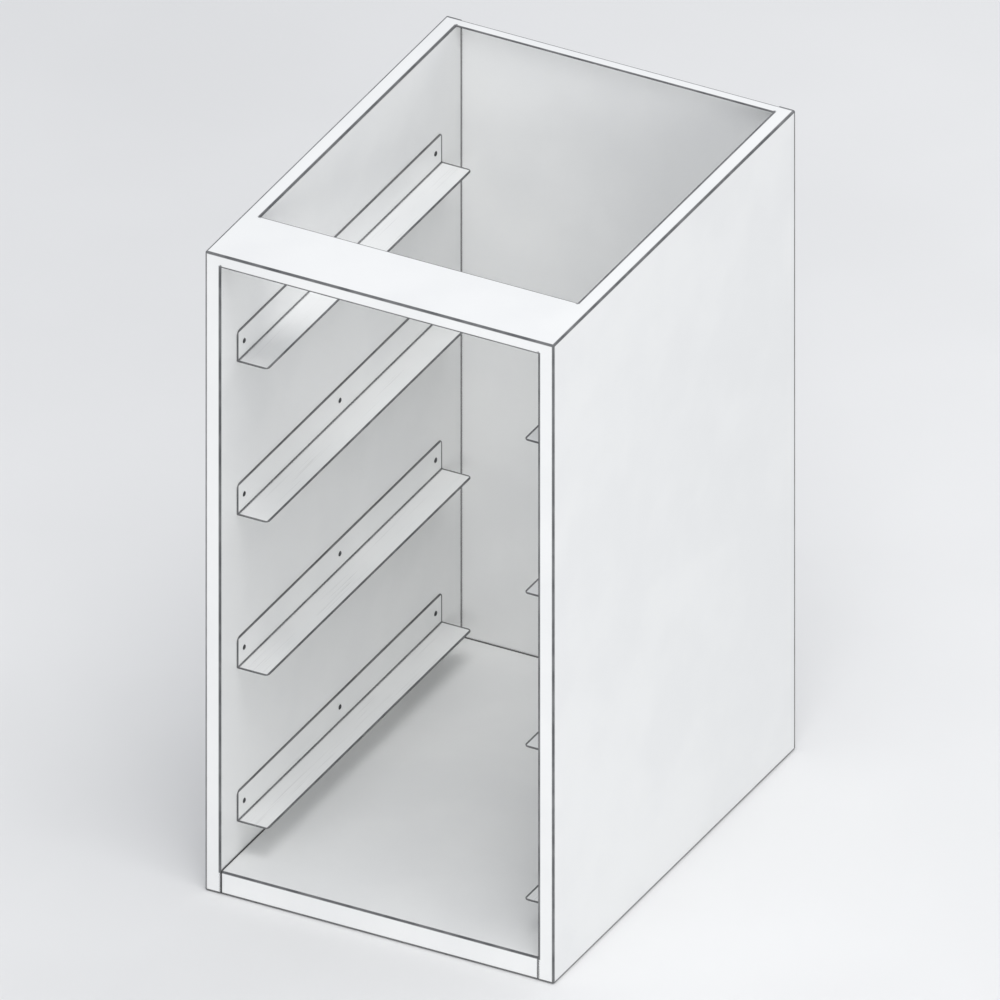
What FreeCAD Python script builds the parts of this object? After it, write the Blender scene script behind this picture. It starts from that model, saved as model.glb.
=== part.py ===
"""Open-front steel base cabinet with four pairs of tray runners.

Millimetres. X runs to the right, Y to the back and Z up. The origin is on the floor, in the middle
of the cabinet's width and depth.
"""

import FreeCAD, Part
import os
import Sketcher

# Driving dimensions, in millimetres
SIZES = {
    # Whole cabinet
    "width": "450",
    "depth": "590",
    "height": "850",
    # Sheet metal: thickness, inside radius of a bend, and the gap between loosely fitted pieces
    "sheet": "1",
    "bend": "1",
    "play": "0.3",
    # What a cut runs past the metal that it opens
    "overrun": "5",
    # Double-skinned side panels
    "side_thickness": "20",
    "inner_flange_gap": "4",
    "rear_hook": "12",
    # Upright stiffeners in the sides
    "stiffener_web": "34",
    "stiffener_foot": "12",
    "stiffener_end_gap": "3",
    # Back panel
    "back_flange": "15",
    # Bottom panel and the stiffener under it
    "bottom_height": "30",
    "bottom_setback": "0.5",
    "bottom_lip": "15",
    "bottom_stiffener_web": "40",
    "bottom_stiffener_foot": "15",
    "bottom_stiffener_drop": "18",
    # Top front rail
    "rail_depth": "98",
    "rail_height": "17",
    "rail_lip": "12",
    # Tray runners
    "runner_upright": "40",
    "runner_shelf": "40",
    "runner_corner": "6",
    "runner_front_gap": "40",
    "runner_rear_gap": "50",
    "lowest_runner_gap": "45",
    "top_runner_gap": "146",
    # Blind rivets and where they stand
    "rivet_hole": "3.8",
    "rivet_shank": "3.2",
    "rivet_head": "6",
    "rivet_head_height": "0.8",
    "rivet_bulb": "4.8",
    "rivet_bulb_length": "3.5",
    "mandrel": "1.8",
    "mandrel_recess": "0.5",
    "runner_rivet_end": "16",
    "runner_rivet_rise": "20",
    "bottom_rivet_end": "14",
    "bottom_rivet_drop": "14",
}

# How near an edge has to be to the place it is looked for, as a share of the sheet's thickness
PICK_SHARE = 0.01
# Rounding of a rivet's head as a share of its height, and of its bulb as a share of its radius
HEAD_ROUND_SHARE = 0.7
BULB_ROUND_SHARE = 0.5

RUNNER_LEVELS = 4
RUNNER_RIVETS = 3
BOTTOM_RIVETS = 4
FULL_TURN = 360
HALF_TURN = 180
UP = FreeCAD.Vector(0, 0, 1)
ACROSS = FreeCAD.Vector(1, 0, 0)
CENTRE = FreeCAD.Vector(0, 0, 0)

doc = FreeCAD.newDocument("tray_cabinet")


def make_sheet():
    """The spreadsheet of driving dimensions: a name and a plain number in each row."""
    sheet = doc.addObject("Spreadsheet::Sheet", "Sizes")
    for row, (alias, number) in enumerate(SIZES.items(), 1):
        sheet.set(f"A{row}", alias)
        sheet.set(f"B{row}", number)
        sheet.setAlias(f"B{row}", alias)
    doc.recompute()
    return sheet


sizes = make_sheet()


class Length:
    """A length as its number and as its formula in the spreadsheet's names."""

    def __init__(self, number, formula):
        self.number = number
        self.formula = formula

    def __add__(self, other):
        return Length(self.number + other.number, f"({self.formula} + {other.formula})")

    def __sub__(self, other):
        return Length(self.number - other.number, f"({self.formula} - {other.formula})")

    def __neg__(self):
        return Length(-self.number, f"(-{self.formula})")

    def __mul__(self, times):
        return Length(self.number * times, f"({self.formula} * {times})")

    def __truediv__(self, parts):
        return Length(self.number / parts, f"({self.formula} / {parts})")


def size(alias):
    """The driving dimension of that name."""
    return Length(float(sizes.get(alias)), f"Sizes.{alias}")


ZERO = Length(0.0, "0")

# Planes of the cabinet that pieces meet
SHEET = size("sheet")
PLAY = size("play")
BEND = size("bend")
BEND_OUTSIDE = BEND + SHEET
PICK_TOLERANCE = SHEET * PICK_SHARE
LEFT = -size("width") / 2
RIGHT = size("width") / 2
FRONT = -size("depth") / 2
BACK = size("depth") / 2
TOP = size("height")
LEFT_WALL = LEFT + size("side_thickness")
RIGHT_WALL = RIGHT - size("side_thickness")
BACK_SHEET = BACK - SHEET

# Levels and columns of the runners' rivets
RAIL_UNDERSIDE = TOP - size("rail_height")
LOWEST_RUNNER = size("bottom_height") + size("lowest_runner_gap")
HIGHEST_RUNNER = RAIL_UNDERSIDE - size("top_runner_gap")
RUNNER_PITCH = (HIGHEST_RUNNER - LOWEST_RUNNER) / (RUNNER_LEVELS - 1)
RUNNER_HEIGHTS = [LOWEST_RUNNER + RUNNER_PITCH * level for level in range(RUNNER_LEVELS)]
RUNNER_FRONT = FRONT + size("runner_front_gap")
RUNNER_BACK = BACK - size("runner_rear_gap")
RUNNER_LENGTH = RUNNER_BACK - RUNNER_FRONT
RUNNER_MIDDLE = RUNNER_FRONT + RUNNER_LENGTH / 2
RUNNER_RIVET_PITCH = (RUNNER_LENGTH - size("runner_rivet_end") * 2) / (RUNNER_RIVETS - 1)
RIVET_COLUMNS = [
    RUNNER_FRONT + size("runner_rivet_end") + RUNNER_RIVET_PITCH * column
    for column in range(RUNNER_RIVETS)
]

# Bottom panel's outer faces and the row of rivets in each of its sides
BOTTOM_LEFT = LEFT_WALL + PLAY
BOTTOM_RIGHT = RIGHT_WALL - PLAY
BOTTOM_FRONT = FRONT + size("bottom_setback")
BOTTOM_BACK = BACK_SHEET - PLAY
BOTTOM_TOP = size("bottom_height")
BOTTOM_RIVET_FIRST = BOTTOM_FRONT + size("bottom_rivet_end")
BOTTOM_RIVET_LAST = BOTTOM_BACK - size("bottom_rivet_end")
BOTTOM_RIVET_PITCH = (BOTTOM_RIVET_LAST - BOTTOM_RIVET_FIRST) / (BOTTOM_RIVETS - 1)
BOTTOM_RIVET_LEVEL = BOTTOM_TOP - size("bottom_rivet_drop")
BOTTOM_RIVET_COLUMNS = [
    BOTTOM_RIVET_FIRST + BOTTOM_RIVET_PITCH * column for column in range(BOTTOM_RIVETS)
]

pieces = []


def new_piece(label):
    """An empty body that becomes the piece of that name."""
    body = doc.addObject("PartDesign::Body", label)
    body.Label = label
    body.AllowCompound = True
    pieces.append(body)
    return body


def origin_feature(body, role):
    """The plane or axis of the body's own origin with that role."""
    return next(item for item in body.Origin.OriginFeatures if item.Role == role)


def new_sketch(body, role, name, level):
    """An empty sketch on one of the body's origin planes, moved by level along the plane's normal."""
    sketch = body.newObject("Sketcher::SketchObject", name)
    sketch.AttachmentSupport = [(origin_feature(body, role), "")]
    sketch.MapMode = "FlatFace"
    sketch.setExpression("AttachmentOffset.Base.z", level.formula)
    return sketch


def pin_point(sketch, geometry, vertex, across, up):
    """Hold a point of the sketch at a place counted from the sketch's origin."""
    for kind, place in (("DistanceX", across), ("DistanceY", up)):
        index = sketch.addConstraint(
            Sketcher.Constraint(kind, -1, 1, geometry, vertex, place.number)
        )
        sketch.setExpression(f"Constraints[{index}]", place.formula)


def settle(feature):
    """Recompute the document and stop if the feature failed."""
    doc.recompute()
    if "Invalid" in feature.State or "Error" in feature.State:
        raise RuntimeError(f"{feature.getParentGeoFeatureGroup().Label}: {feature.Label} failed")


def outline(body, role, name, points, level=ZERO):
    """A closed outline of straight lines through the points."""
    sketch = new_sketch(body, role, name, level)
    places = [FreeCAD.Vector(across.number, up.number, 0) for across, up in points]
    ends = places[1:] + places[:1]
    for start, end in zip(places, ends):
        sketch.addGeometry(Part.LineSegment(start, end), False)
    count = len(points)
    for line in range(count):
        sketch.addConstraint(Sketcher.Constraint("Coincident", line, 2, (line + 1) % count, 1))
    for line, (across, up) in enumerate(points):
        pin_point(sketch, line, 1, across, up)
    return sketch


def rectangle(body, role, name, across, up, level=ZERO):
    """A rectangle between two places across and two places up."""
    corners = [(across[0], up[0]), (across[1], up[0]), (across[1], up[1]), (across[0], up[1])]
    return outline(body, role, name, corners, level)


def circles(body, role, name, diameter, centres, level=ZERO):
    """Equal circles round the centres."""
    sketch = new_sketch(body, role, name, level)
    for circle, (across, up) in enumerate(centres):
        centre = FreeCAD.Vector(across.number, up.number, 0)
        sketch.addGeometry(Part.Circle(centre, UP, diameter.number / 2), False)
        pin_point(sketch, circle, 3, across, up)
        index = sketch.addConstraint(Sketcher.Constraint("Diameter", circle, diameter.number))
        sketch.setExpression(f"Constraints[{index}]", diameter.formula)
    return sketch


def pad(body, sketch, name, thickness, backwards=False):
    """Metal from the sketch along its plane's normal, or against it when backwards."""
    feature = body.newObject("PartDesign::Pad", name)
    feature.Profile = sketch
    feature.Reversed = backwards
    feature.setExpression("Length", thickness.formula)
    settle(feature)


def cut(body, sketch, name, depth, along_normal=False):
    """A pocket from the sketch against its plane's normal, or along it; it has to remove metal."""
    before = body.Shape.Volume
    feature = body.newObject("PartDesign::Pocket", name)
    feature.Profile = sketch
    feature.Reversed = along_normal
    feature.setExpression("Length", depth.formula)
    settle(feature)
    if not body.Shape.Volume < before:
        raise RuntimeError(f"{body.Label}: {name} removes no metal")


def near(place, length):
    """Whether a place or a radius on the metal is that length."""
    return abs(place - length.number) < PICK_TOLERANCE.number


def straight_edges(shape, spots):
    """Names of the straight edges through the spots, whose None is the direction that they run in."""
    names = []
    for index, edge in enumerate(shape.Edges, 1):
        if edge.Degenerated or edge.Curve.TypeId != "Part::GeomLine":
            continue
        ends = [edge.Vertexes[0].Point, edge.Vertexes[-1].Point]
        for spot in spots:
            fixed = [axis for axis in range(3) if spot[axis] is not None]
            if all(near(end[axis], spot[axis]) for end in ends for axis in fixed):
                names.append(f"Edge{index}")
                break
    return names


def round_named(body, name, radius, names):
    """Round the edges of those names on the body as it is so far."""
    base = body.Tip
    feature = body.newObject("PartDesign::Fillet", name)
    feature.Base = (base, names)
    feature.setExpression("Radius", radius.formula)
    settle(feature)


def round_edges(body, name, radius, spots):
    """Round the straight edges through the spots, at least one edge for each spot."""
    names = straight_edges(body.Tip.Shape, spots)
    if len(names) < len(spots):
        raise RuntimeError(f"{body.Label}: {name} finds {len(names)} of {len(spots)} edges")
    round_named(body, name, radius, names)


def round_profile(body, name, radius, points, axis):
    """Round a padded profile's corners, whose edges run along the axis."""
    spots = []
    for across, up in points:
        spot = [across, up]
        spot.insert("XYZ".index(axis), None)
        spots.append(spot)
    round_edges(body, name, radius, spots)


def mirrored(source, label):
    """The same piece on the other side of the cabinet."""
    piece = doc.addObject("Part::Mirroring", label)
    piece.Label = label
    piece.Source = source
    piece.Base = CENTRE
    piece.Normal = ACROSS
    pieces.append(piece)


def wall_rivet_places():
    """Places of all rivet holes in a side panel's inner skin, along Y and Z."""
    rise = size("runner_rivet_rise")
    places = [(column, height + rise) for column in RIVET_COLUMNS for height in RUNNER_HEIGHTS]
    places += [(column, BOTTOM_RIVET_LEVEL) for column in BOTTOM_RIVET_COLUMNS]
    return places


def make_outer_panel(label):
    """Outer skin of the left side: a pan open to the inside and at the back.

    Its front return is the cabinet's stile, and its top and bottom returns are the side's own top
    and underside.
    """
    body = new_piece(label)
    blank = rectangle(body, "YZ_Plane", "panel_outline", (FRONT, BACK), (ZERO, TOP), LEFT)
    pad(body, blank, "panel_block", size("side_thickness"))
    edges = [(LEFT, FRONT, None), (LEFT, None, ZERO), (LEFT, None, TOP)]
    edges += [(None, FRONT, ZERO), (None, FRONT, TOP)]
    round_edges(body, "outside_bends", BEND_OUTSIDE, edges)
    front = FRONT + SHEET
    bottom = SHEET
    top = TOP - SHEET
    hollow = rectangle(
        body, "YZ_Plane", "hollow_outline", (front, BACK + size("overrun")), (bottom, top), LEFT_WALL
    )
    cut(body, hollow, "hollow", size("side_thickness") - SHEET)
    skin = LEFT + SHEET
    edges = [(skin, front, None), (skin, None, bottom), (skin, None, top)]
    edges += [(None, front, bottom), (None, front, top)]
    round_edges(body, "inside_bends", BEND, edges)
    return body


def make_inner_panel(label):
    """Inner skin of the left side: a pan that nests in the outer one and hooks its rear edge.

    Its rear flange stands one sheet forward of the outer skin's rear edge, which leaves the rebate
    that the back panel lies in.
    """
    body = new_piece(label)
    front = FRONT + SHEET
    bottom = SHEET
    top = TOP - SHEET
    flange = size("side_thickness") - SHEET - size("inner_flange_gap")
    flange_tip = LEFT_WALL - flange
    blank = rectangle(
        body, "YZ_Plane", "skin_outline", (front, BACK_SHEET), (bottom, top), LEFT_WALL
    )
    pad(body, blank, "skin_block", flange, backwards=True)
    edges = [(LEFT_WALL, y, None) for y in (front, BACK_SHEET)]
    edges += [(LEFT_WALL, None, z) for z in (bottom, top)]
    edges += [(None, y, z) for y in (front, BACK_SHEET) for z in (bottom, top)]
    round_edges(body, "outside_bends", BEND_OUTSIDE, edges)
    inside_y = (front + SHEET, BACK_SHEET - SHEET)
    inside_z = (bottom + SHEET, top - SHEET)
    hollow = rectangle(body, "YZ_Plane", "hollow_outline", inside_y, inside_z, flange_tip)
    skin = LEFT_WALL - SHEET
    cut(body, hollow, "hollow", flange - SHEET, along_normal=True)
    edges = [(skin, y, None) for y in inside_y]
    edges += [(skin, None, z) for z in inside_z]
    edges += [(None, y, z) for y in inside_y for z in inside_z]
    round_edges(body, "inside_bends", BEND, edges)
    hook_face = LEFT + SHEET
    hook_front = BACK_SHEET - size("rear_hook")
    hook = [
        (flange_tip, BACK_SHEET),
        (hook_face, BACK_SHEET),
        (hook_face, hook_front),
        (hook_face + SHEET, hook_front),
        (hook_face + SHEET, inside_y[1]),
        (flange_tip, inside_y[1]),
    ]
    hook_foot = bottom + BEND_OUTSIDE
    profile = outline(body, "XY_Plane", "hook_outline", hook, hook_foot)
    pad(body, profile, "rear_hook", top - BEND_OUTSIDE - hook_foot)
    round_profile(body, "hook_outside_bend", BEND_OUTSIDE, [hook[1]], "Z")
    round_profile(body, "hook_inside_bend", BEND, [hook[4]], "Z")
    holes = circles(
        body, "YZ_Plane", "rivet_hole_places", size("rivet_hole"), wall_rivet_places(), LEFT_WALL
    )
    cut(body, holes, "rivet_holes", SHEET + PLAY)
    return body


def hat_profile(web_face, foot_face, thickness, middle, web, foot):
    """Points of a hat section whose web looks towards web_face and whose feet lie on foot_face.

    The first number of a point runs from the feet to the web, the second along the web. The
    thickness is counted towards the web, so it is negative where the web lies lower than the feet.
    """
    half = web / 2
    reach = half + foot
    leg = half - SHEET
    web_back = web_face - thickness
    foot_front = foot_face + thickness
    return [
        (web_face, middle - half),
        (web_face, middle + half),
        (foot_front, middle + half),
        (foot_front, middle + reach),
        (foot_face, middle + reach),
        (foot_face, middle + leg),
        (web_back, middle + leg),
        (web_back, middle - leg),
        (foot_face, middle - leg),
        (foot_face, middle - reach),
        (foot_front, middle - reach),
        (foot_front, middle - half),
    ]


def round_hat(body, points, axis):
    """Round the bends of a padded hat section whose edges run along the axis."""
    outside = [points[index] for index in (0, 1, 5, 8)]
    inside = [points[index] for index in (2, 6, 7, 11)]
    round_profile(body, "outside_bends", BEND_OUTSIDE, outside, axis)
    round_profile(body, "inside_bends", BEND, inside, axis)


def make_side_stiffener(label, column):
    """Upright hat section between the skins of the left side, behind one column of rivets."""
    body = new_piece(label)
    web_face = LEFT_WALL - SHEET
    foot_face = LEFT + SHEET
    lower_end = SHEET * 2 + size("stiffener_end_gap")
    points = hat_profile(
        web_face, foot_face, SHEET, column, size("stiffener_web"), size("stiffener_foot")
    )
    profile = outline(body, "XY_Plane", "hat_outline", points, lower_end)
    pad(body, profile, "hat", TOP - lower_end * 2)
    round_hat(body, points, "Z")
    rise = size("runner_rivet_rise")
    places = [(column, height + rise) for height in RUNNER_HEIGHTS]
    holes = circles(body, "YZ_Plane", "rivet_hole_places", size("rivet_hole"), places, web_face)
    cut(body, holes, "rivet_holes", SHEET + PLAY)
    return body


def make_back_panel(label):
    """Back sheet in the sides' rear rebate, with a flange folded forward at the top.

    Between the sides it rises to the cabinet's top. Behind them it stops under their top returns.
    """
    body = new_piece(label)
    edge_left = LEFT + SHEET + PLAY
    edge_right = RIGHT - SHEET - PLAY
    foot = SHEET + PLAY
    shoulder = TOP - SHEET - PLAY
    points = [
        (edge_left, foot),
        (edge_right, foot),
        (edge_right, shoulder),
        (RIGHT_WALL, shoulder),
        (RIGHT_WALL, TOP),
        (LEFT_WALL, TOP),
        (LEFT_WALL, shoulder),
        (edge_left, shoulder),
    ]
    blank = outline(body, "XZ_Plane", "sheet_outline", points, -BACK)
    pad(body, blank, "sheet", SHEET)
    flange = rectangle(
        body,
        "XY_Plane",
        "flange_outline",
        (LEFT_WALL, RIGHT_WALL),
        (BACK - size("back_flange"), BACK),
        TOP - SHEET,
    )
    pad(body, flange, "top_flange", SHEET)
    round_edges(body, "outside_bend", BEND_OUTSIDE, [(None, BACK, TOP)])
    round_edges(body, "inside_bend", BEND, [(None, BACK_SHEET, TOP - SHEET)])


def make_bottom_panel(label):
    """Bottom of the cabinet: a pan turned over, with lips folded in under its front and back."""
    body = new_piece(label)
    sides = (BOTTOM_LEFT, BOTTOM_RIGHT)
    ends = (BOTTOM_FRONT, BOTTOM_BACK)
    blank = rectangle(body, "XY_Plane", "bottom_outline", sides, ends)
    pad(body, blank, "bottom_block", BOTTOM_TOP)
    edges = [(x, None, BOTTOM_TOP) for x in sides]
    edges += [(None, y, z) for y in ends for z in (ZERO, BOTTOM_TOP)]
    edges += [(x, y, None) for x in sides for y in ends]
    round_edges(body, "outside_bends", BEND_OUTSIDE, edges)
    inside_x = (BOTTOM_LEFT + SHEET, BOTTOM_RIGHT - SHEET)
    inside_y = (BOTTOM_FRONT + SHEET, BOTTOM_BACK - SHEET)
    mouth = (BOTTOM_FRONT + size("bottom_lip"), BOTTOM_BACK - size("bottom_lip"))
    underside = BOTTOM_TOP - SHEET
    points = [
        (mouth[0], ZERO),
        (mouth[0], SHEET),
        (inside_y[0], SHEET),
        (inside_y[0], underside),
        (inside_y[1], underside),
        (inside_y[1], SHEET),
        (mouth[1], SHEET),
        (mouth[1], ZERO),
    ]
    hollow = outline(body, "YZ_Plane", "hollow_outline", points, inside_x[0])
    cut(body, hollow, "hollow", inside_x[1] - inside_x[0], along_normal=True)
    edges = [(x, None, underside) for x in inside_x]
    edges += [(None, y, z) for y in inside_y for z in (SHEET, underside)]
    edges += [(x, y, None) for x in inside_x for y in inside_y]
    round_edges(body, "inside_bends", BEND, edges)
    places = [(y, BOTTOM_RIVET_LEVEL) for y in BOTTOM_RIVET_COLUMNS]
    for side, edge in zip(("left", "right"), (BOTTOM_LEFT - PLAY, inside_x[1] - PLAY)):
        holes = circles(
            body, "YZ_Plane", f"{side}_rivet_hole_places", size("rivet_hole"), places, edge
        )
        cut(body, holes, f"{side}_rivet_holes", SHEET + PLAY * 2, along_normal=True)


def make_bottom_stiffener(label):
    """Hat section across the middle of the bottom panel, its feet against the panel's underside."""
    body = new_piece(label)
    foot_face = BOTTOM_TOP - SHEET
    web_face = foot_face - size("bottom_stiffener_drop")
    web = size("bottom_stiffener_web")
    foot = size("bottom_stiffener_foot")
    points = [
        (along, height)
        for height, along in hat_profile(web_face, foot_face, -SHEET, ZERO, web, foot)
    ]
    end = BOTTOM_LEFT + BEND_OUTSIDE
    profile = outline(body, "YZ_Plane", "hat_outline", points, end)
    pad(body, profile, "hat", BOTTOM_RIGHT - BEND_OUTSIDE - end)
    round_hat(body, points, "X")


def make_top_front_rail(label):
    """Channel between the sides at the top front, open downwards, with a lip along each edge.

    A plate closes each end, against the inner skin of that side.
    """
    body = new_piece(label)
    rear = FRONT + size("rail_depth")
    lip = size("rail_lip")
    points = [
        (FRONT, TOP),
        (rear, TOP),
        (rear, RAIL_UNDERSIDE),
        (rear - lip, RAIL_UNDERSIDE),
        (rear - lip, RAIL_UNDERSIDE + SHEET),
        (rear - SHEET, RAIL_UNDERSIDE + SHEET),
        (rear - SHEET, TOP - SHEET),
        (FRONT + SHEET, TOP - SHEET),
        (FRONT + SHEET, RAIL_UNDERSIDE + SHEET),
        (FRONT + lip, RAIL_UNDERSIDE + SHEET),
        (FRONT + lip, RAIL_UNDERSIDE),
        (FRONT, RAIL_UNDERSIDE),
    ]
    profile = outline(body, "YZ_Plane", "channel_outline", points, LEFT_WALL)
    pad(body, profile, "channel", RIGHT_WALL - LEFT_WALL)
    outside = [points[index] for index in (0, 1, 2, 11)]
    inside = [points[index] for index in (5, 6, 7, 8)]
    round_profile(body, "outside_bends", BEND_OUTSIDE, outside, "X")
    round_profile(body, "inside_bends", BEND, inside, "X")
    plate_y = (FRONT + SHEET, rear - SHEET)
    plate_z = (RAIL_UNDERSIDE + SHEET, TOP - SHEET)
    for side, face in (("left", LEFT_WALL), ("right", RIGHT_WALL - SHEET)):
        plate = rectangle(body, "YZ_Plane", f"{side}_end_outline", plate_y, plate_z, face)
        pad(body, plate, f"{side}_end_plate", SHEET)


def seat_on_wall(body, side, height):
    """Put a piece that was made for the left wall on the wall of that side, at that height.

    A runner is the same both ways, so for the right wall it is turned round.
    """
    wall = LEFT_WALL if side == "left" else RIGHT_WALL
    if side == "right":
        body.Placement.Rotation = FreeCAD.Rotation(UP, HALF_TURN)
    body.setExpression("Placement.Base.x", wall.formula)
    body.setExpression("Placement.Base.y", RUNNER_MIDDLE.formula)
    body.setExpression("Placement.Base.z", height.formula)
    doc.recompute()


def make_runner(label, side, height):
    """Angle that carries one edge of a tray.

    In its own frame the upright lies on the plane X = 0, the shelf's underside is at Z = 0 and the
    runner's middle at Y = 0.
    """
    body = new_piece(label)
    upright = size("runner_upright")
    shelf = size("runner_shelf")
    half = RUNNER_LENGTH / 2
    points = [
        (ZERO, ZERO),
        (shelf, ZERO),
        (shelf, SHEET),
        (SHEET, SHEET),
        (SHEET, upright),
        (ZERO, upright),
    ]
    profile = outline(body, "XZ_Plane", "angle_outline", points, -half)
    pad(body, profile, "angle", RUNNER_LENGTH)
    round_profile(body, "heel_outside", BEND_OUTSIDE, [points[0]], "Y")
    round_profile(body, "heel_inside", BEND, [points[3]], "Y")
    corners = [(shelf, end, None) for end in (-half, half)]
    corners += [(None, end, upright) for end in (-half, half)]
    round_edges(body, "free_corners", size("runner_corner"), corners)
    rise = size("runner_rivet_rise")
    places = [(column - RUNNER_MIDDLE, rise) for column in RIVET_COLUMNS]
    holes = circles(body, "YZ_Plane", "rivet_hole_places", size("rivet_hole"), places, -PLAY)
    cut(body, holes, "rivet_holes", SHEET + PLAY * 2, along_normal=True)
    seat_on_wall(body, side, height)


def make_rivet_row(body, head_face, grip, first, level, pitch, count):
    """A row of blind rivets along Y, each set along X with its head towards +X.

    head_face is where the heads lie and grip is what they clamp. Each rivet has a low domed head
    with the recess that its mandrel leaves, a shank, and a bulb on the blind side.
    """
    head = size("rivet_head") / 2
    head_top = head_face + size("rivet_head_height")
    recess = size("mandrel") / 2
    recess_floor = head_top - size("mandrel_recess")
    shank = size("rivet_shank") / 2
    bulb = size("rivet_bulb") / 2
    bulb_face = head_face - grip
    bulb_end = bulb_face - size("rivet_bulb_length")
    points = [
        (bulb_end, ZERO),
        (recess_floor, ZERO),
        (recess_floor, recess),
        (head_top, recess),
        (head_top, head),
        (head_face, head),
        (head_face, shank),
        (bulb_face, shank),
        (bulb_face, bulb),
        (bulb_end, bulb),
    ]
    sketch = outline(body, "XY_Plane", "rivet_outline", points, level)
    sketch.setExpression("AttachmentOffset.Base.y", first.formula)
    turned = body.newObject("PartDesign::Revolution", "rivet")
    turned.Profile = sketch
    turned.ReferenceAxis = (sketch, ["H_Axis"])
    turned.Angle = FULL_TURN
    settle(turned)
    row = body.newObject("PartDesign::LinearPattern", "row")
    row.Originals = [turned]
    row.Direction = (origin_feature(body, "Y_Axis"), [""])
    row.Mode = "Spacing"
    row.Occurrences = count
    row.setExpression("Offset", pitch.formula)
    body.Tip = row
    settle(row)
    head_round = size("rivet_head_height") * HEAD_ROUND_SHARE
    round_rings(body, "head_rims", head_round, head_top, head)
    round_rings(body, "bulb_ends", bulb * BULB_ROUND_SHARE, bulb_end, bulb)


def round_rings(body, name, radius, place, ring):
    """Round the circular edges of that ring radius that lie square to X at that place."""
    names = []
    for index, edge in enumerate(body.Tip.Shape.Edges, 1):
        if edge.Degenerated or edge.Curve.TypeId != "Part::GeomCircle":
            continue
        if near(edge.Curve.Center.x, place) and near(edge.Curve.Radius, ring):
            names.append(f"Edge{index}")
    if not names:
        raise RuntimeError(f"{body.Label}: {name} finds no edge")
    round_named(body, name, radius, names)


def make_runner_rivets(label, side, height):
    """The rivets of one runner, through its upright, the inner skin and the stiffener's web."""
    body = new_piece(label)
    first = RIVET_COLUMNS[0] - RUNNER_MIDDLE
    rise = size("runner_rivet_rise")
    make_rivet_row(body, SHEET, SHEET * 3, first, rise, RUNNER_RIVET_PITCH, RUNNER_RIVETS)
    seat_on_wall(body, side, height)


def make_bottom_rivets(label):
    """The rivets from inside the bottom panel's left side into the left inner skin."""
    body = new_piece(label)
    head_face = BOTTOM_LEFT + SHEET
    grip = SHEET * 2 + PLAY
    make_rivet_row(
        body,
        head_face,
        grip,
        BOTTOM_RIVET_FIRST,
        BOTTOM_RIVET_LEVEL,
        BOTTOM_RIVET_PITCH,
        BOTTOM_RIVETS,
    )
    return body


def make_cabinet():
    """All pieces of the cabinet."""
    mirrored(make_outer_panel("left_outer_panel"), "right_outer_panel")
    mirrored(make_inner_panel("left_inner_panel"), "right_inner_panel")
    for place, column in zip(("front", "middle", "rear"), RIVET_COLUMNS):
        left = make_side_stiffener(f"left_{place}_stiffener", column)
        mirrored(left, f"right_{place}_stiffener")
    make_back_panel("back_panel")
    make_bottom_panel("bottom_panel")
    make_bottom_stiffener("bottom_stiffener")
    mirrored(make_bottom_rivets("left_bottom_rivets"), "right_bottom_rivets")
    make_top_front_rail("top_front_rail")
    for level, height in enumerate(RUNNER_HEIGHTS, 1):
        for side in ("left", "right"):
            make_runner(f"{side}_runner_{level}", side, height)
            make_runner_rivets(f"{side}_runner_{level}_rivets", side, height)
    doc.recompute()


def check_document():
    """Stop if any object of the document failed, or a piece has no valid solid."""
    for item in doc.Objects:
        if "Invalid" in item.State or "Error" in item.State:
            raise RuntimeError(f"{item.Label} is {item.State}")
    for piece in pieces:
        if piece.Shape.isNull() or not piece.Shape.isValid() or not piece.Shape.Solids:
            raise RuntimeError(f"{piece.Label} has no valid solid")


def write_pieces():
    """One STEP file for each piece, named after it."""
    os.makedirs("parts", exist_ok=True)
    for piece in pieces:
        piece.Shape.exportStep(os.path.join("parts", f"{piece.Label}.step"))
        print(f"{piece.Label}: {len(piece.Shape.Solids)} solids, {piece.Shape.Volume:.0f} mm3")


make_cabinet()
check_document()
write_pieces()
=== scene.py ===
import math

import bpy
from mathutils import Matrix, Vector


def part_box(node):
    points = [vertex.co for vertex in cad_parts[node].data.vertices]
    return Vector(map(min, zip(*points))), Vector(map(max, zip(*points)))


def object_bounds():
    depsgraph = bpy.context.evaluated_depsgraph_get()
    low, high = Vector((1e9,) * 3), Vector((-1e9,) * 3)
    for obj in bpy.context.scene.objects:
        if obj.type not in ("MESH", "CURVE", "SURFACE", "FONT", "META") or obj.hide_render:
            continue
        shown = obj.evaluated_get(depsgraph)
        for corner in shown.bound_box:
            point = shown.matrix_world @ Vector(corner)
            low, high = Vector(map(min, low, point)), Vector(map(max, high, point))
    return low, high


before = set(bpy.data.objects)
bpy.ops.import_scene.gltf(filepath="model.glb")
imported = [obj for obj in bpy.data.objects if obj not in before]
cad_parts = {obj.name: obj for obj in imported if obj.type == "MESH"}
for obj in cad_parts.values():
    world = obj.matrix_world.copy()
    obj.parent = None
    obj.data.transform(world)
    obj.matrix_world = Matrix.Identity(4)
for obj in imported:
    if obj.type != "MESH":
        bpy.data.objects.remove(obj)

CAD_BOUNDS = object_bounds()

# Millimetres in a metre: the finishes are laid out in millimetres
MILLIMETRES = 1000.0


def millimetre_box(name):
    """The lowest and highest corners of a CAD node, in millimetres."""
    return [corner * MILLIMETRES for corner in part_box(name)]


# The cabinet's outer faces, from its middle and from the floor, and its front rail
OUTER = CAD_BOUNDS[1] * MILLIMETRES
RAIL_LOW, RAIL_HIGH = millimetre_box("top_front_rail")

# The inner walls' faces, the bottom's upper face and the front edge of the back's top flange
WALL = RAIL_HIGH.x
BOTTOM = millimetre_box("bottom_panel")[1].z
FLANGE = millimetre_box("back_panel")[0].y

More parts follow.
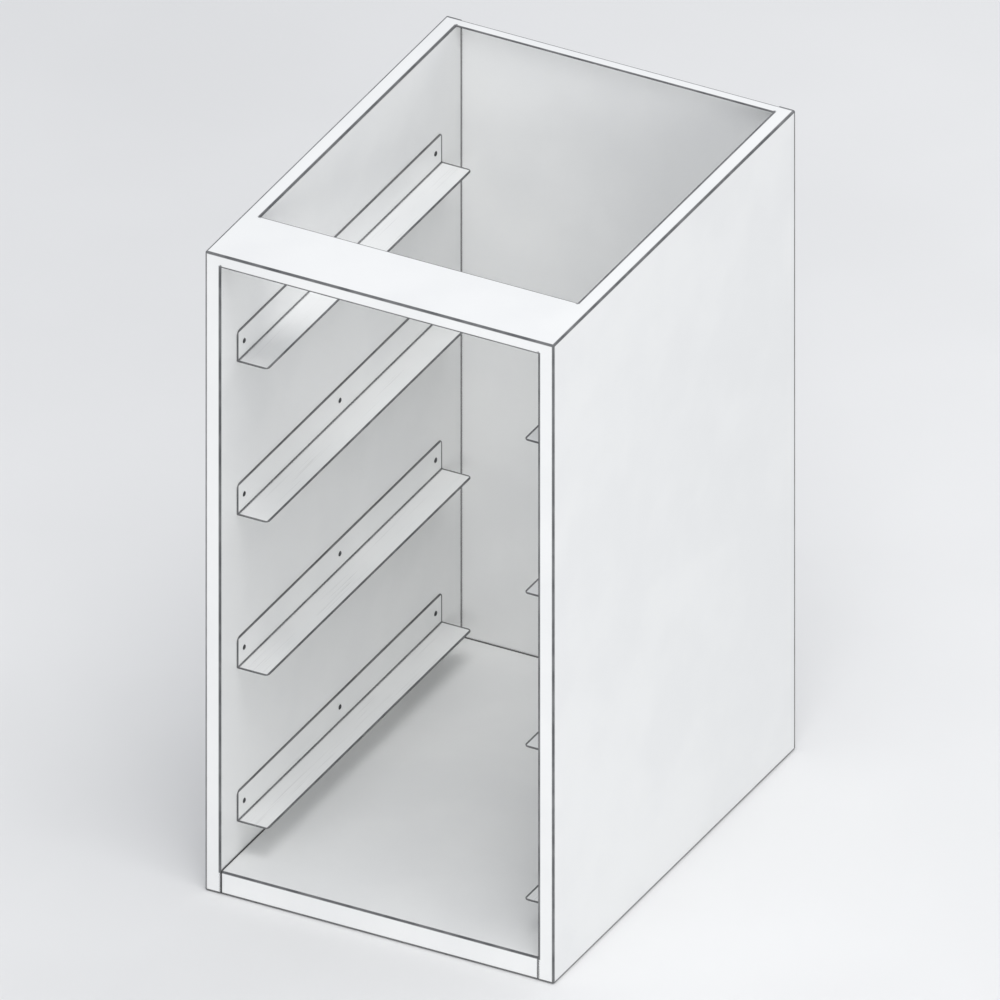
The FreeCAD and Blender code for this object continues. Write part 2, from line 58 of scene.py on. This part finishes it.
# The lowest right runner, and how far up the next one hangs
RUNNER_LOW, RUNNER_HIGH = millimetre_box("right_runner_1")
RUNNER_PITCH = millimetre_box("right_runner_2")[0].z - RUNNER_LOW.z

# The welds of the sides to the rail and to the back, ground flush: how far they reach to each side
# of the seam, and how thick their metal is
WELD_REACH = 4.0
WELD_DEPTH = 1.5

# The rubbed metal along an edge: how wide it is bare, and where the coating is whole again
RUBBED = (1.8, 3.0)

# How far from its rims an inner wall can still show the tone of an edge, and how near to the wall's
# face a point counts as on it
WALL_RIM = 8.0
WALL_TOUCH = 0.5

# From a bend to a flat face: the largest part of the surface's normal. From a slope to a level face:
# its upward part
BENT_TO_FLAT = (0.90, 0.997)
SLOPING_TO_LEVEL = (0.80, 0.98)

# Where most of a noise's values lie, and where nearly all of them do
MOST = (0.35, 0.65)
NEARLY_ALL = (0.30, 0.70)

# The range of a share, and results that fall from 1 to 0 while a value rises
SHARE = (0.0, 1.0)
FALLING = (1.0, 0.0)

# How many samples the nodes that find edges and crevices take at a point
NODE_SAMPLES = 8

# The coat: its two tones, its roughness, and the sizes of its clouds, wear and handled patches
COAT_TONES = ((0.808, 0.813, 0.808, 1.0), (0.838, 0.842, 0.834, 1.0))
COAT_ROUGHNESS = (0.34, 0.46)
COAT_CLOUD = 140.0
WEAR_PATCH = 24.0
HANDLED_PATCH = 55.0

# The specks in the coat: colour, size, strength, and the noise values between which they set in
SPECK_TONE = (0.62, 0.615, 0.60, 1.0)
SPECK_SIZE = 1.1
SPECK_STRENGTH = (0.0, 0.35)
SPECK_ONSET = (0.735, 0.80)

# The rubbed steel: colour, the rounding that finds its edges, the cosines of the turn at which an
# edge shows in full and not at all, and how much of the coat is gone there
STEEL_TONE = (0.075, 0.078, 0.082, 1.0)
EDGE_RADIUS = 3.5
EDGE_TURN = (0.88, 0.996)
WORN_SHARE = (0.90, 1.0)

# The painted shade in joints and corners, darkest where the ambient occlusion node finds a point closed
# in: colour, reach, and how open a place is in full painted shade and in none
JOINT_SHADE_TONE = (0.10, 0.10, 0.10, 1.0)
JOINT_SHADE_REACH = 4.0
JOINT_SHADE_OPENNESS = (0.40, 0.80)

# The marks that trays leave on the shelves: colour, strength, and how much smoother they are
MARK_TONE = (0.55, 0.55, 0.545, 1.0)
MARK_STRENGTH = 0.45
MARK_SMOOTHING = 0.10

# The streaks and scuffs that make up those marks
STREAK_SIZE = 1.6
STREAK_STRETCH = (1.0, 90.0, 1.0)
STREAK_ONSET = (0.56, 0.70)
SCUFF_SIZE = 40.0
SCUFF_STRETCH = (1.0, 4.0, 1.0)
SCUFF_ONSET = (0.42, 0.62)

# The coat's orange peel and its grain: size and depth
PEEL_SIZE, PEEL_DEPTH = 2.8, 0.060
GRAIN_SIZE, GRAIN_DEPTH = 0.7, 0.010

# The rivets' blackened zinc
RIVET_TONES = ((0.050, 0.051, 0.054, 1.0), (0.095, 0.096, 0.100, 1.0))
RIVET_ROUGHNESS = (0.40, 0.58)
RIVET_METALLIC = 0.85
RIVET_PATCH = 1.8
RIVET_GRAIN_SIZE, RIVET_GRAIN_DEPTH = 0.5, 0.012

# The rivets' rubbed rims, and how rubbed they are from the darker to the lighter patches
RIM_TONE = (0.30, 0.30, 0.30, 1.0)
RIM_RADIUS = 0.35
RIM_TURN = (0.70, 0.98)
RIM_PATCH = (0.2, 0.9)
RIM_SHARE = (0.1, 0.6)

# The stiffeners' zinc: crystals, with a feathered pattern across them
ZINC_TONES = ((0.34, 0.355, 0.37, 1.0), (0.60, 0.61, 0.62, 1.0))
ZINC_TONE_RANGE = (0.1, 0.9)
ZINC_ROUGHNESS = (0.52, 0.36)
ZINC_METALLIC = 0.9
CRYSTAL_SIZE = 9.0
FEATHER_SIZE, FEATHER_DEPTH = 2.2, 0.010
FEATHER_STRETCH = (1.0, 1.0, 3.0)
FEATHER_SHARE = 0.35

# The studio's floor: its finish, and how far it reaches and lies under the cabinet, in metres
FLOOR_TONES = ((0.785, 0.785, 0.78, 1.0), (0.81, 0.81, 0.805, 1.0))
FLOOR_ROUGHNESS = (0.80, 0.90)
FLOOR_CLOUD = 600.0
FLOOR_GRAIN_SIZE, FLOOR_GRAIN_DEPTH = 1.5, 0.02
FLOOR_REACH = 12.0
FLOOR_DROP = 0.0005

# The studio's light: the sky, and each soft light's name, place, size in metres and power in watts
SKY_TONE = (0.93, 0.95, 1.0, 1.0)
SKY_STRENGTH = 0.64
LIGHT_TARGET = (0.0, 0.0, 0.4)
LIGHTS = (
    ("key", (1.0, -1.0, 4.6), (2.6, 2.2), 80.0),
    ("fill", (3.0, -5.0, 1.3), (3.4, 1.8), 118.0),
    ("back", (0.8, 3.6, 2.4), (2.6, 2.0), 30.0),
)

# The drawing's parallel projection: where it looks from, and how much of the object it takes in
CAMERA_AZIMUTH = math.radians(27.82)
CAMERA_ELEVATION = math.radians(31.0)
CAMERA_WIDTH = 1.14106
CAMERA_DISTANCE = 4.0
CAMERA_REACH = 100.0


class Graph:
    """The node tree of one material."""

    def __init__(self, name):
        self.material = bpy.data.materials.new(name)
        self.material.use_nodes = True
        self.tree = self.material.node_tree
        self.tree.nodes.clear()
        self.shader = self.node("ShaderNodeBsdfPrincipled")
        output = self.node("ShaderNodeOutputMaterial")
        self.feed(output, "Surface", self.shader.outputs["BSDF"])
        metres = self.node("ShaderNodeTexCoord").outputs["Object"]
        place = self.node("ShaderNodeVectorMath", {0: metres, "Scale": MILLIMETRES}, operation="SCALE")
        self.place = place.outputs["Vector"]
        self.normal = self.node("ShaderNodeNewGeometry").outputs["Normal"]

    def node(self, kind, inputs=None, **settings):
        """A node with these settings; an input takes a number or the output that feeds it."""
        made = self.tree.nodes.new(kind)
        for key, value in settings.items():
            setattr(made, key, value)
        for key, value in (inputs or {}).items():
            self.feed(made, key, value)
        return made

    def feed(self, node, key, value):
        """Give an input of a node a number or the output of another node."""
        if isinstance(value, bpy.types.NodeSocket):
            self.tree.links.new(value, node.inputs[key])
        else:
            node.inputs[key].default_value = value

    def math(self, operation, *values):
        """The result of one operation on numbers and outputs."""
        return self.node("ShaderNodeMath", dict(enumerate(values)), operation=operation).outputs[0]

    def chain(self, operation, values):
        """The result of an operation on the first two values, then on that and the third, and so on."""
        result = values[0]
        for value in values[1:]:
            result = self.math(operation, result, value)
        return result

    def largest(self, *values):
        """The largest of the values."""
        return self.chain("MAXIMUM", values)

    def smallest(self, *values):
        """The smallest of the values."""
        return self.chain("MINIMUM", values)

    def product(self, *values):
        """The values multiplied."""
        return self.chain("MULTIPLY", values)

    def magnitude(self, value):
        """The value without its sign."""
        return self.math("ABSOLUTE", value)

    def outside(self, mask):
        """What a mask leaves of 1."""
        return self.math("SUBTRACT", 1.0, mask)

    def between(self, value, limits, results=SHARE):
        """The value brought from the limits to the results, and held there outside them."""
        inputs = dict(zip(("From Min", "From Max", "To Min", "To Max"), (*limits, *results)))
        inputs["Value"] = value
        return self.node("ShaderNodeMapRange", inputs, interpolation_type="SMOOTHSTEP").outputs[0]

    def noise(self, size, detail=2.0, roughness=0.5, stretch=(1.0, 1.0, 1.0), shift=(0.0, 0.0, 0.0)):
        """Soft noise, with features about size millimetres large, and longer along a stretched axis."""
        scale = [1.0 / (size * axis) for axis in stretch]
        mapped = self.node("ShaderNodeMapping", {"Vector": self.place, "Scale": scale, "Location": shift})
        inputs = {"Vector": mapped.outputs["Vector"], "Scale": 1.0}
        inputs.update({"Detail": detail, "Roughness": roughness})
        return self.node("ShaderNodeTexNoise", inputs).outputs[0]

    def patches(self, size, roughness=0.5):
        """Soft patches about size millimetres large, from 0 to 1."""
        return self.between(self.noise(size, detail=3.0, roughness=roughness), MOST)

    def mix(self, share, first, second):
        """A colour that goes from the first to the second with the share."""
        return self.node("ShaderNodeMix", {0: share, 6: first, 7: second}, data_type="RGBA").outputs[2]

    def edges(self, radius, turn):
        """How near a sharp edge is, from 0 to 1, within about radius millimetres."""
        rounded = self.node("ShaderNodeBevel", {"Radius": radius / MILLIMETRES}, samples=NODE_SAMPLES)
        inputs = {0: rounded.outputs["Normal"], 1: self.normal}
        turned = self.node("ShaderNodeVectorMath", inputs, operation="DOT_PRODUCT").outputs["Value"]
        return self.between(turned, turn, FALLING)

    def crevices(self, reach, openness):
        """How deep in a joint or corner, from 0 to 1, within about reach millimetres."""
        inputs = {"Distance": reach / MILLIMETRES}
        found = self.node("ShaderNodeAmbientOcclusion", inputs, samples=NODE_SAMPLES)
        return self.between(found.outputs["AO"], openness, FALLING)

    def bends(self):
        """1 on rounded bends and corners, 0 on flat faces, which all lie square to the axes."""
        sizes = self.node("ShaderNodeVectorMath", {0: self.normal}, operation="ABSOLUTE").outputs["Vector"]
        parts = self.node("ShaderNodeSeparateXYZ", {0: sizes}).outputs
        return self.between(self.largest(*parts), BENT_TO_FLAT, FALLING)

    def upward(self):
        """1 on surfaces that face up, 0 on the others."""
        height = self.node("ShaderNodeSeparateXYZ", {0: self.normal}).outputs["Z"]
        return self.between(height, SLOPING_TO_LEVEL)

    def bump(self, layers):
        """The shader's normal, from layers of height and depth in millimetres."""
        normal = None
        for height, depth in layers:
            inputs = {"Height": height, "Distance": depth / MILLIMETRES, "Strength": 1.0}
            if normal is not None:
                inputs["Normal"] = normal
            normal = self.node("ShaderNodeBump", inputs).outputs["Normal"]
        self.feed(self.shader, "Normal", normal)

    def dress(self, colour, roughness, *layers, metallic=0.0):
        """The material with this colour, roughness and share of metal, and these layers of bump."""
        self.feed(self.shader, "Base Color", colour)
        self.feed(self.shader, "Roughness", roughness)
        self.feed(self.shader, "Metallic", metallic)
        self.bump(layers)
        return self.material


class CoatGraph(Graph):
    """The node tree of the coat, which knows where the cabinet's edges, welds and walls are."""

    def __init__(self, name):
        super().__init__(name)
        parts = self.node("ShaderNodeSeparateXYZ", {0: self.place}).outputs
        # How far out from the middle, how far back and how far up a point is
        self.out = self.magnitude(parts["X"])
        self.back = parts["Y"]
        self.up = parts["Z"]
        self.past_wall = self.math("SUBTRACT", self.out, WALL)
        self.to_end = self.math("SUBTRACT", OUTER.y, self.magnitude(self.back))
        self.to_top = self.math("SUBTRACT", OUTER.z, self.up)

    def ground_welds(self):
        """1 where the sides' welds to the rail and the back are ground flush, 0 elsewhere."""
        on_seam = self.math("LESS_THAN", self.magnitude(self.past_wall), WELD_REACH)
        at_rail = self.math("LESS_THAN", self.back, RAIL_HIGH.y - WELD_REACH)
        over_underside = self.math("GREATER_THAN", self.up, RAIL_LOW.z + WELD_REACH)
        at_flange = self.math("GREATER_THAN", self.back, FLANGE + WELD_REACH)
        at_top = self.math("GREATER_THAN", self.up, OUTER.z - WELD_DEPTH)
        welded = self.largest(self.product(at_rail, over_underside), self.product(at_flange, at_top))
        return self.product(on_seam, welded)

    def rubbed(self, distance):
        """1 on the metal next to an edge that is distance millimetres away, 0 farther off."""
        return self.between(distance, RUBBED, FALLING)

    def outer_edges(self):
        """1 along the cabinet's outer edges, which lie where a second outer face is near, else 0."""
        to_side = self.math("SUBTRACT", OUTER.x, self.out)
        to_level = self.smallest(self.up, self.to_top)
        nearer = self.smallest(to_side, self.to_end)
        farther = self.largest(to_side, self.to_end)
        to_second = self.largest(nearer, self.smallest(farther, to_level))
        return self.rubbed(to_second)

    def rim(self, along, low, high, depth):
        """1 on the rim of an opening from wall to wall and from low to high, 0 away from it."""
        past_ends = self.largest(self.math("SUBTRACT", low, along), self.math("SUBTRACT", along, high))
        beside = self.rubbed(self.magnitude(self.largest(self.past_wall, past_ends)))
        return self.product(beside, self.rubbed(depth))

    def opening_rims(self):
        """1 on the rims of the open top and the open front, 0 away from them."""
        behind_front = self.math("ADD", self.back, OUTER.y)
        top = self.rim(self.back, RAIL_HIGH.y, FLANGE, self.to_top)
        front = self.rim(self.up, BOTTOM, RAIL_LOW.z, behind_front)
        return self.largest(top, front)

    def flat_walls(self):
        """1 on the inner walls away from their rims, where no edge shows, 0 elsewhere."""
        on_wall = self.math("LESS_THAN", self.magnitude(self.past_wall), WALL_TOUCH)
        to_bottom = self.math("SUBTRACT", self.up, BOTTOM)
        to_rim = self.smallest(self.to_end, to_bottom, self.to_top)
        return self.product(on_wall, self.math("GREATER_THAN", to_rim, WALL_RIM))

    def runner_edges(self):
        """1 on every runner's cut edges and the metal next to them, 0 elsewhere."""
        to_front = self.math("SUBTRACT", self.back, RUNNER_LOW.y)
        to_rear = self.math("SUBTRACT", RUNNER_HIGH.y, self.back)
        to_shelf_edge = self.math("SUBTRACT", self.out, RUNNER_LOW.x)
        over_top = self.math("SUBTRACT", self.up, RUNNER_HIGH.z)
        to_nearest_top = self.math("PINGPONG", over_top, RUNNER_PITCH / 2)
        return self.rubbed(self.smallest(to_front, to_rear, to_shelf_edge, to_nearest_top))

    def tray_marks(self):
        """How strong the marks are that trays leave on surfaces that face up, from 0 to 1."""
        streaks = self.noise(STREAK_SIZE, detail=3.0, roughness=0.65, stretch=STREAK_STRETCH)
        scuffs = self.noise(SCUFF_SIZE, stretch=SCUFF_STRETCH, shift=(2.0, 2.0, 2.0))
        marks = self.product(self.between(streaks, STREAK_ONSET), self.between(scuffs, SCUFF_ONSET))
        return self.product(marks, self.upward())


def powder_coat(name, carries_trays=False):
    """White satin powder coat on sheet steel, for the cabinet or for the runners that carry trays."""
    graph = CoatGraph(name)
    colour = graph.mix(graph.patches(COAT_CLOUD), *COAT_TONES)
    specks = graph.noise(SPECK_SIZE, detail=1.0, shift=(5.0, 2.0, 9.0))
    colour = graph.mix(graph.between(specks, SPECK_ONSET, SPECK_STRENGTH), colour, SPECK_TONE)

    # The coat is rubbed off on edges and bends, but not on the ground welds
    plain = graph.outside(graph.ground_welds())
    corners = graph.product(graph.edges(EDGE_RADIUS, EDGE_TURN), plain)
    corners = graph.largest(corners, graph.bends())
    if carries_trays:
        corners = graph.largest(corners, graph.runner_edges())
    else:
        # The inner walls' meshes have sliver triangles, which the edge tone would show as hairlines
        corners = graph.product(corners, graph.outside(graph.flat_walls()))
        corners = graph.largest(corners, graph.outer_edges(), graph.opening_rims())
    wear = graph.noise(WEAR_PATCH, detail=3.0, shift=(40.0, 7.0, 3.0))
    worn = graph.product(corners, graph.between(wear, NEARLY_ALL, WORN_SHARE))
    colour = graph.mix(worn, colour, STEEL_TONE)
    # Painted shade: the coat is darkened in joints and corners where the ambient occlusion node finds them
    # closed in, but not on the ground welds
    joint_shade = graph.product(graph.crevices(JOINT_SHADE_REACH, JOINT_SHADE_OPENNESS), plain)
    colour = graph.mix(joint_shade, colour, JOINT_SHADE_TONE)

    handled = graph.noise(HANDLED_PATCH, detail=4.0, roughness=0.6, shift=(11.0, 3.0, 8.0))
    roughness = graph.between(handled, NEARLY_ALL, COAT_ROUGHNESS)
    if carries_trays:
        marks = graph.tray_marks()
        colour = graph.mix(graph.product(marks, MARK_STRENGTH), colour, MARK_TONE)
        roughness = graph.math("MULTIPLY_ADD", marks, -MARK_SMOOTHING, roughness)
    peel = graph.noise(PEEL_SIZE, roughness=0.45)
    grain = graph.noise(GRAIN_SIZE, detail=1.0, shift=(1.0, 4.0, 2.0))
    return graph.dress(colour, roughness, (peel, PEEL_DEPTH), (grain, GRAIN_DEPTH))


def dark_zinc(name):
    """Blackened zinc on the rivets: dull dark metal, brighter where a rim is rubbed."""
    graph = Graph(name)
    patches = graph.patches(RIVET_PATCH, roughness=0.6)
    colour = graph.mix(patches, *RIVET_TONES)
    rim_share = graph.between(patches, RIM_PATCH, RIM_SHARE)
    colour = graph.mix(graph.product(graph.edges(RIM_RADIUS, RIM_TURN), rim_share), colour, RIM_TONE)
    roughness = graph.between(patches, SHARE, RIVET_ROUGHNESS)
    grain = graph.noise(RIVET_GRAIN_SIZE)
    return graph.dress(colour, roughness, (grain, RIVET_GRAIN_DEPTH), metallic=RIVET_METALLIC)


def galvanised(name):
    """Zinc-dipped steel with its crystal pattern."""
    graph = Graph(name)
    cells = graph.node("ShaderNodeTexVoronoi", {"Vector": graph.place, "Scale": 1.0 / CRYSTAL_SIZE})
    crystal = graph.node("ShaderNodeSeparateColor", {0: cells.outputs["Color"]}).outputs["Red"]
    feather = graph.noise(FEATHER_SIZE, detail=3.0, roughness=0.6, stretch=FEATHER_STRETCH)
    crystal = graph.product(crystal, 1.0 - FEATHER_SHARE)
    tone = graph.math("MULTIPLY_ADD", feather, FEATHER_SHARE, crystal)
    colour = graph.mix(tone, *ZINC_TONES)
    roughness = graph.between(tone, ZINC_TONE_RANGE, ZINC_ROUGHNESS)
    return graph.dress(colour, roughness, (feather, FEATHER_DEPTH), metallic=ZINC_METALLIC)


def studio_floor(name):
    """Pale matt studio floor."""
    graph = Graph(name)
    clouds = graph.patches(FLOOR_CLOUD)
    colour = graph.mix(clouds, *FLOOR_TONES)
    roughness = graph.between(clouds, SHARE, FLOOR_ROUGHNESS)
    return graph.dress(colour, roughness, (graph.noise(FLOOR_GRAIN_SIZE), FLOOR_GRAIN_DEPTH))


def dress_nodes():
    """Give every CAD node the finish of its slot in the record."""
    finishes = {
        "body_coating": powder_coat("body_coating_look"),
        "runner_coating": powder_coat("runner_coating_look", carries_trays=True),
        "rivet_steel": dark_zinc("rivet_steel_look"),
        "galvanised": galvanised("galvanised_look"),
    }
    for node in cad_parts.values():
        for slot in node.material_slots:
            slot.material = finishes[slot.material.name]


def place_in_scene(name, data):
    """A new object with this data, in the scene."""
    made = bpy.data.objects.new(name, data)
    bpy.context.scene.collection.objects.link(made)
    return made


def aim(thing, place, target):
    """Put a camera or a light at a place and turn it to a target."""
    thing.location = place
    thing.rotation_mode = "QUATERNION"
    thing.rotation_quaternion = (Vector(target) - Vector(place)).to_track_quat("-Z", "Y")


def make_floor():
    """A wide floor just under the cabinet."""
    mesh = bpy.data.meshes.new("studio_floor")
    corners = [(x * FLOOR_REACH, y * FLOOR_REACH, 0.0) for x, y in ((-1, -1), (1, -1), (1, 1), (-1, 1))]
    mesh.from_pydata(corners, [], [(0, 1, 2, 3)])
    mesh.materials.append(studio_floor("studio_floor_look"))
    floor = place_in_scene("studio_floor", mesh)
    floor.location.z = -FLOOR_DROP


def make_soft_light(name, place, size, power):
    """A large soft light that points at the cabinet's middle."""
    lamp = bpy.data.lights.new(name, "AREA")
    lamp.shape = "RECTANGLE"
    lamp.size, lamp.size_y = size
    lamp.energy = power
    light = place_in_scene(name, lamp)
    aim(light, place, LIGHT_TARGET)
    light.visible_camera = False


def make_studio():
    """Plain soft light from all round, with the key above and the fill from the front right."""
    world = bpy.data.worlds.new("studio")
    world.use_nodes = True
    background = world.node_tree.nodes["Background"]
    background.inputs["Color"].default_value = SKY_TONE
    background.inputs["Strength"].default_value = SKY_STRENGTH
    bpy.context.scene.world = world
    for light in LIGHTS:
        make_soft_light(*light)


def make_camera():
    """The camera at the drawing's own angle and scale."""
    low, high = CAD_BOUNDS
    middle = (low + high) / 2
    flat = math.cos(CAMERA_ELEVATION)
    towards = Vector((
        math.sin(CAMERA_AZIMUTH) * flat,
        -math.cos(CAMERA_AZIMUTH) * flat,
        math.sin(CAMERA_ELEVATION),
    ))
    lens = bpy.data.cameras.new("camera")
    lens.type = "ORTHO"
    lens.ortho_scale = CAMERA_WIDTH
    lens.clip_end = CAMERA_REACH
    camera = place_in_scene("camera", lens)
    aim(camera, middle + towards * CAMERA_DISTANCE, middle)
    bpy.context.scene.camera = camera


dress_nodes()
make_floor()
make_studio()
make_camera()
bpy.context.scene.view_settings.view_transform = "Standard"
